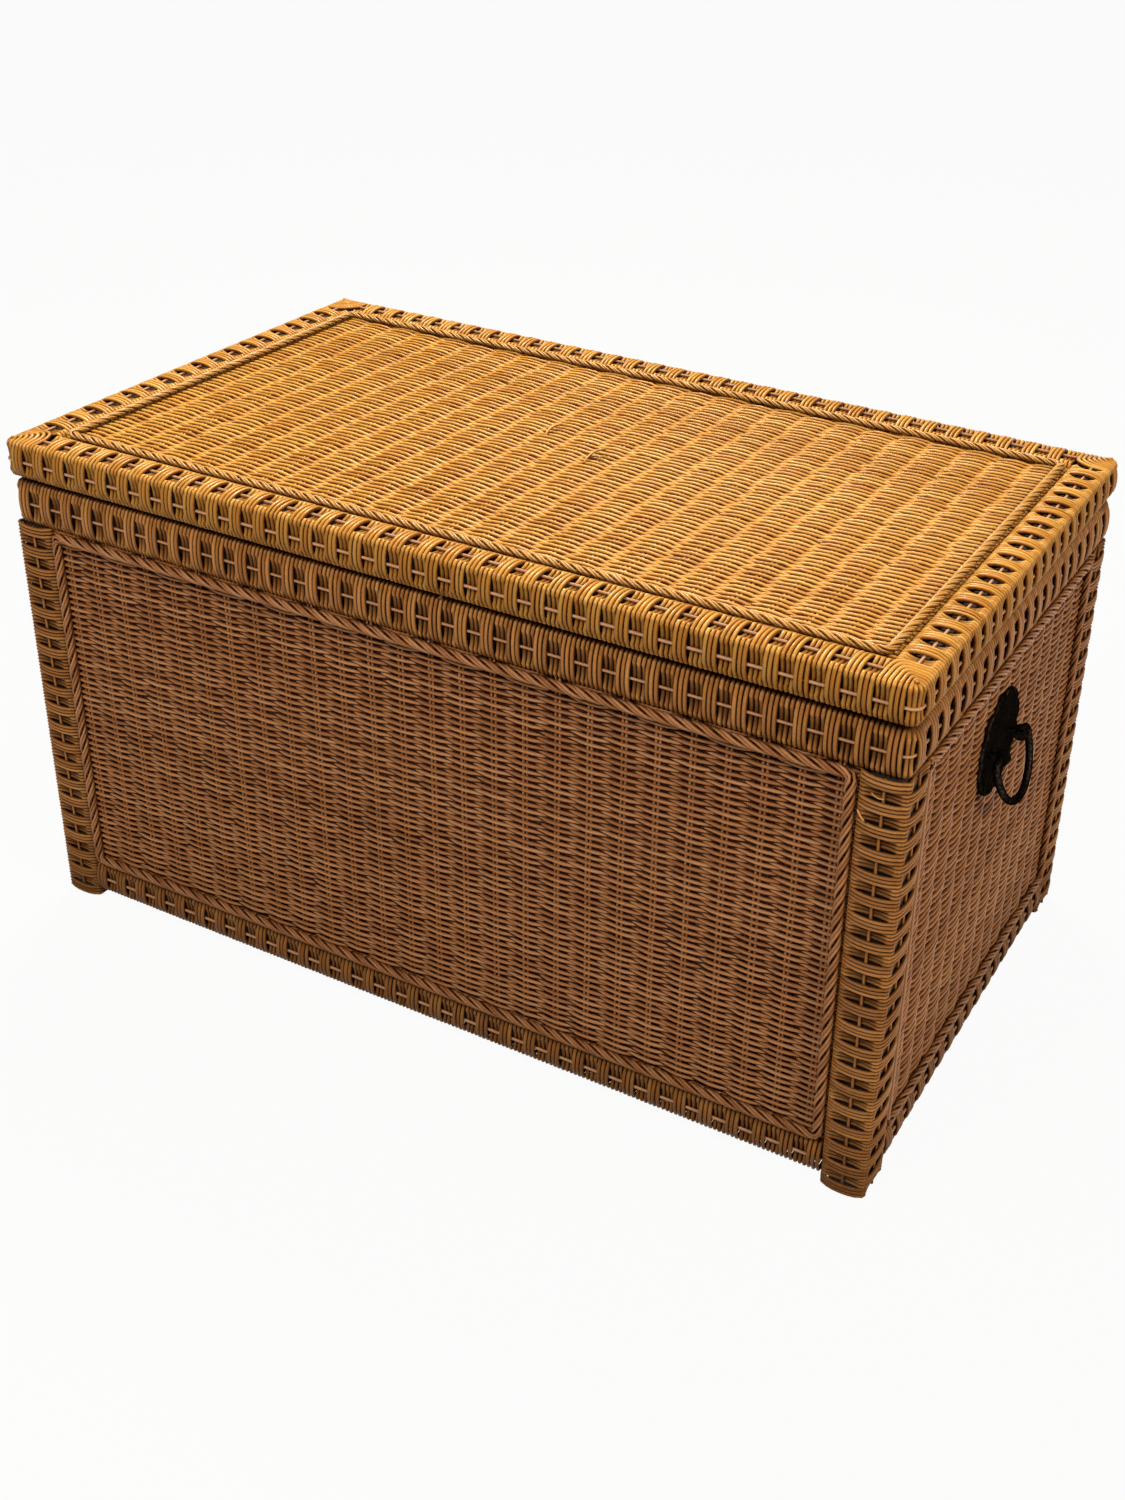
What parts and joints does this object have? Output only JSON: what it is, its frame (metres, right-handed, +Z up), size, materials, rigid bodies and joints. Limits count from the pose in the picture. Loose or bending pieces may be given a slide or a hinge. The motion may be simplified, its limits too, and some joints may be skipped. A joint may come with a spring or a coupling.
{
  "type": "wicker trunk",
  "caption": "Rectangular woven reed trunk on a reed-wrapped stick frame, with a hinged lid and an iron drop handle on each end.",
  "frame": {"origin": "bottom centre of the feet", "axes": "+Z up, +X along the trunk's length to the right seen from the front, front at -Y"},
  "size_m": [0.9044, 0.5037, 0.4794],
  "materials": {
    "frame_stick": "bare sawn stick",
    "reed_wrapping": "amber varnished round reed",
    "reed_weave": "amber brown woven round reed, lightly varnished",
    "reed_braid": "plaited round reed, lightly varnished",
    "black_iron": "black, slightly glossy",
    "hinge_steel": "blackened steel, satin"
  },
  "bodies": {
    "trunk": {"back_braid": "reed_braid", "back_panel": "reed_weave", "bottom_rail_stick_back": "frame_stick", "bottom_rail_stick_front": "frame_stick", "bottom_rail_stick_left": "frame_stick", "bottom_rail_stick_right": "frame_stick", "bottom_rail_wrap_back": "reed_wrapping", "bottom_rail_wrap_front": "reed_wrapping", "bottom_rail_wrap_left": "reed_wrapping", "bottom_rail_wrap_right": "reed_wrapping", "floor_panel": "reed_weave", "front_braid": "reed_braid", "front_panel": "reed_weave", "handle_eyes_left": "black_iron", "handle_eyes_right": "black_iron", "handle_plate_left": "black_iron", "handle_plate_right": "black_iron", "hinge_body_leaf_left": "hinge_steel", "hinge_body_leaf_right": "hinge_steel", "hinge_body_screws": "hinge_steel", "hinge_pin_left": "hinge_steel", "hinge_pin_right": "hinge_steel", "left_braid": "reed_braid", "left_panel": "reed_weave", "post_stick_back_left": "frame_stick", "post_stick_back_right": "frame_stick", "post_stick_front_left": "frame_stick", "post_stick_front_right": "frame_stick", "post_wrap_back_left": "reed_wrapping", "post_wrap_back_right": "reed_wrapping", "post_wrap_front_left": "reed_wrapping", "post_wrap_front_right": "reed_wrapping", "right_braid": "reed_braid", "right_panel": "reed_weave", "top_rail_stick_back": "frame_stick", "top_rail_stick_front": "frame_stick", "top_rail_stick_left": "frame_stick", "top_rail_stick_right": "frame_stick", "top_rail_wrap_back": "reed_wrapping", "top_rail_wrap_front": "reed_wrapping", "top_rail_wrap_left": "reed_wrapping", "top_rail_wrap_right": "reed_wrapping"},
    "lid": {"hinge_lid_leaf_left": "hinge_steel", "hinge_lid_leaf_right": "hinge_steel", "hinge_lid_screws": "hinge_steel", "lid_braid": "reed_braid", "lid_panel": "reed_weave", "lid_rail_stick_back": "frame_stick", "lid_rail_stick_front": "frame_stick", "lid_rail_stick_left": "frame_stick", "lid_rail_stick_right": "frame_stick", "lid_rail_wrap_back": "reed_wrapping", "lid_rail_wrap_front": "reed_wrapping", "lid_rail_wrap_left": "reed_wrapping", "lid_rail_wrap_right": "reed_wrapping"},
    "left_bail": {"handle_bail_left": "black_iron"},
    "right_bail": {"handle_bail_right": "black_iron"}
  },
  "joints": [
    {"name": "lid_hinge", "type": "hinge", "parent": "trunk", "child": "lid", "pos_m": [0, 0.2505, 0.44085], "axis": [-1, 0, 0], "range_deg": [0, 105]},
    {"name": "right_bail_swing", "type": "hinge", "parent": "trunk", "child": "right_bail", "pos_m": [0.436, -0.022, 0.319], "axis": [0, -1, 0], "range_deg": [-16, 134]},
    {"name": "left_bail_swing", "type": "hinge", "parent": "trunk", "child": "left_bail", "pos_m": [-0.436, -0.022, 0.319], "axis": [0, 1, 0], "range_deg": [-16, 134]}
  ]
}
